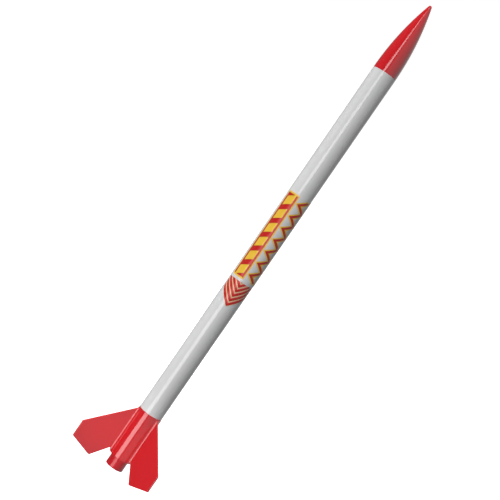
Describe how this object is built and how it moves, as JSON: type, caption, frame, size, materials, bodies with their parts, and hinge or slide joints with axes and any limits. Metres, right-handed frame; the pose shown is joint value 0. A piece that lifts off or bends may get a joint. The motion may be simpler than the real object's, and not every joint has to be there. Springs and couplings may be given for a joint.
{
  "type": "model rocket",
  "caption": "Slim model rocket with a paper body tube, ogive nose, moulded swept-fin unit, powder motor, launch lug and packed parachute.",
  "frame": {"origin": "on the rocket's axis, in the plane of the motor tube's aft end, beside which the motor's nozzle face lies", "axes": "+Z along the rocket's axis towards the nose; one fin points along +Y"},
  "size_m": [0.0918, 0.0795, 0.5351],
  "materials": {
    "white_tube": "glossy white coated paper",
    "red_plastic": "smooth moulded, semi-gloss",
    "red_tube": "red coated paper tube",
    "black_plastic": "moulded, satin",
    "card": "grey-brown die-cut card",
    "lug_paper": "spiral-wound paper straw",
    "sticker": "printed self-adhesive film, gloss",
    "elastic": "flat woven elastic",
    "canopy_film": "thin polythene film",
    "thread": "twisted cotton thread",
    "tissue": "crumpled flameproof tissue",
    "kraft": "wound kraft paper",
    "clay": "dry pressed clay",
    "powder": "pressed black powder",
    "masking_tape": "creped masking tape"
  },
  "bodies": {
    "airframe": {"body_tube": "white_tube", "fin_unit": "red_plastic", "motor_tube": "red_tube", "aft_centring_ring": "card", "forward_centring_ring": "card", "thrust_ring": "card", "launch_lug": "lug_paper", "sticker_band": "sticker", "sticker_arrow": "sticker", "shock_cord": "elastic"},
    "nose": {"nose_cone": "red_plastic", "nose_plug": "black_plastic"},
    "parachute": {"parachute_canopy": "canopy_film", "shroud_lines": "thread"},
    "wadding": {"recovery_wadding": "tissue"},
    "motor": {"motor_casing": "kraft", "motor_nozzle": "clay", "propellant_grain": "powder", "delay_charge": "powder", "ejection_charge": "powder", "clay_cap": "clay", "friction_tape": "masking_tape"}
  },
  "joints": [
    {"name": "nose_slide", "type": "slide", "parent": "airframe", "child": "nose", "axis": [0, 0, 1], "range_m": [0, 0.14], "deforming": ["shock_cord"]},
    {"name": "parachute_slide", "type": "slide", "parent": "airframe", "child": "parachute", "axis": [0, 0, 1], "range_m": [0, 0.14]},
    {"name": "wadding_slide", "type": "slide", "parent": "airframe", "child": "wadding", "axis": [0, 0, 1], "range_m": [0, 0.14]},
    {"name": "motor_slide", "type": "slide", "parent": "airframe", "child": "motor", "axis": [0, 0, -1], "range_m": [0, 0.072]}
  ],
  "couplings": [
    {"joint": "parachute_slide", "follows": "nose_slide", "ratio": 1},
    {"joint": "wadding_slide", "follows": "nose_slide", "ratio": 1}
  ]
}
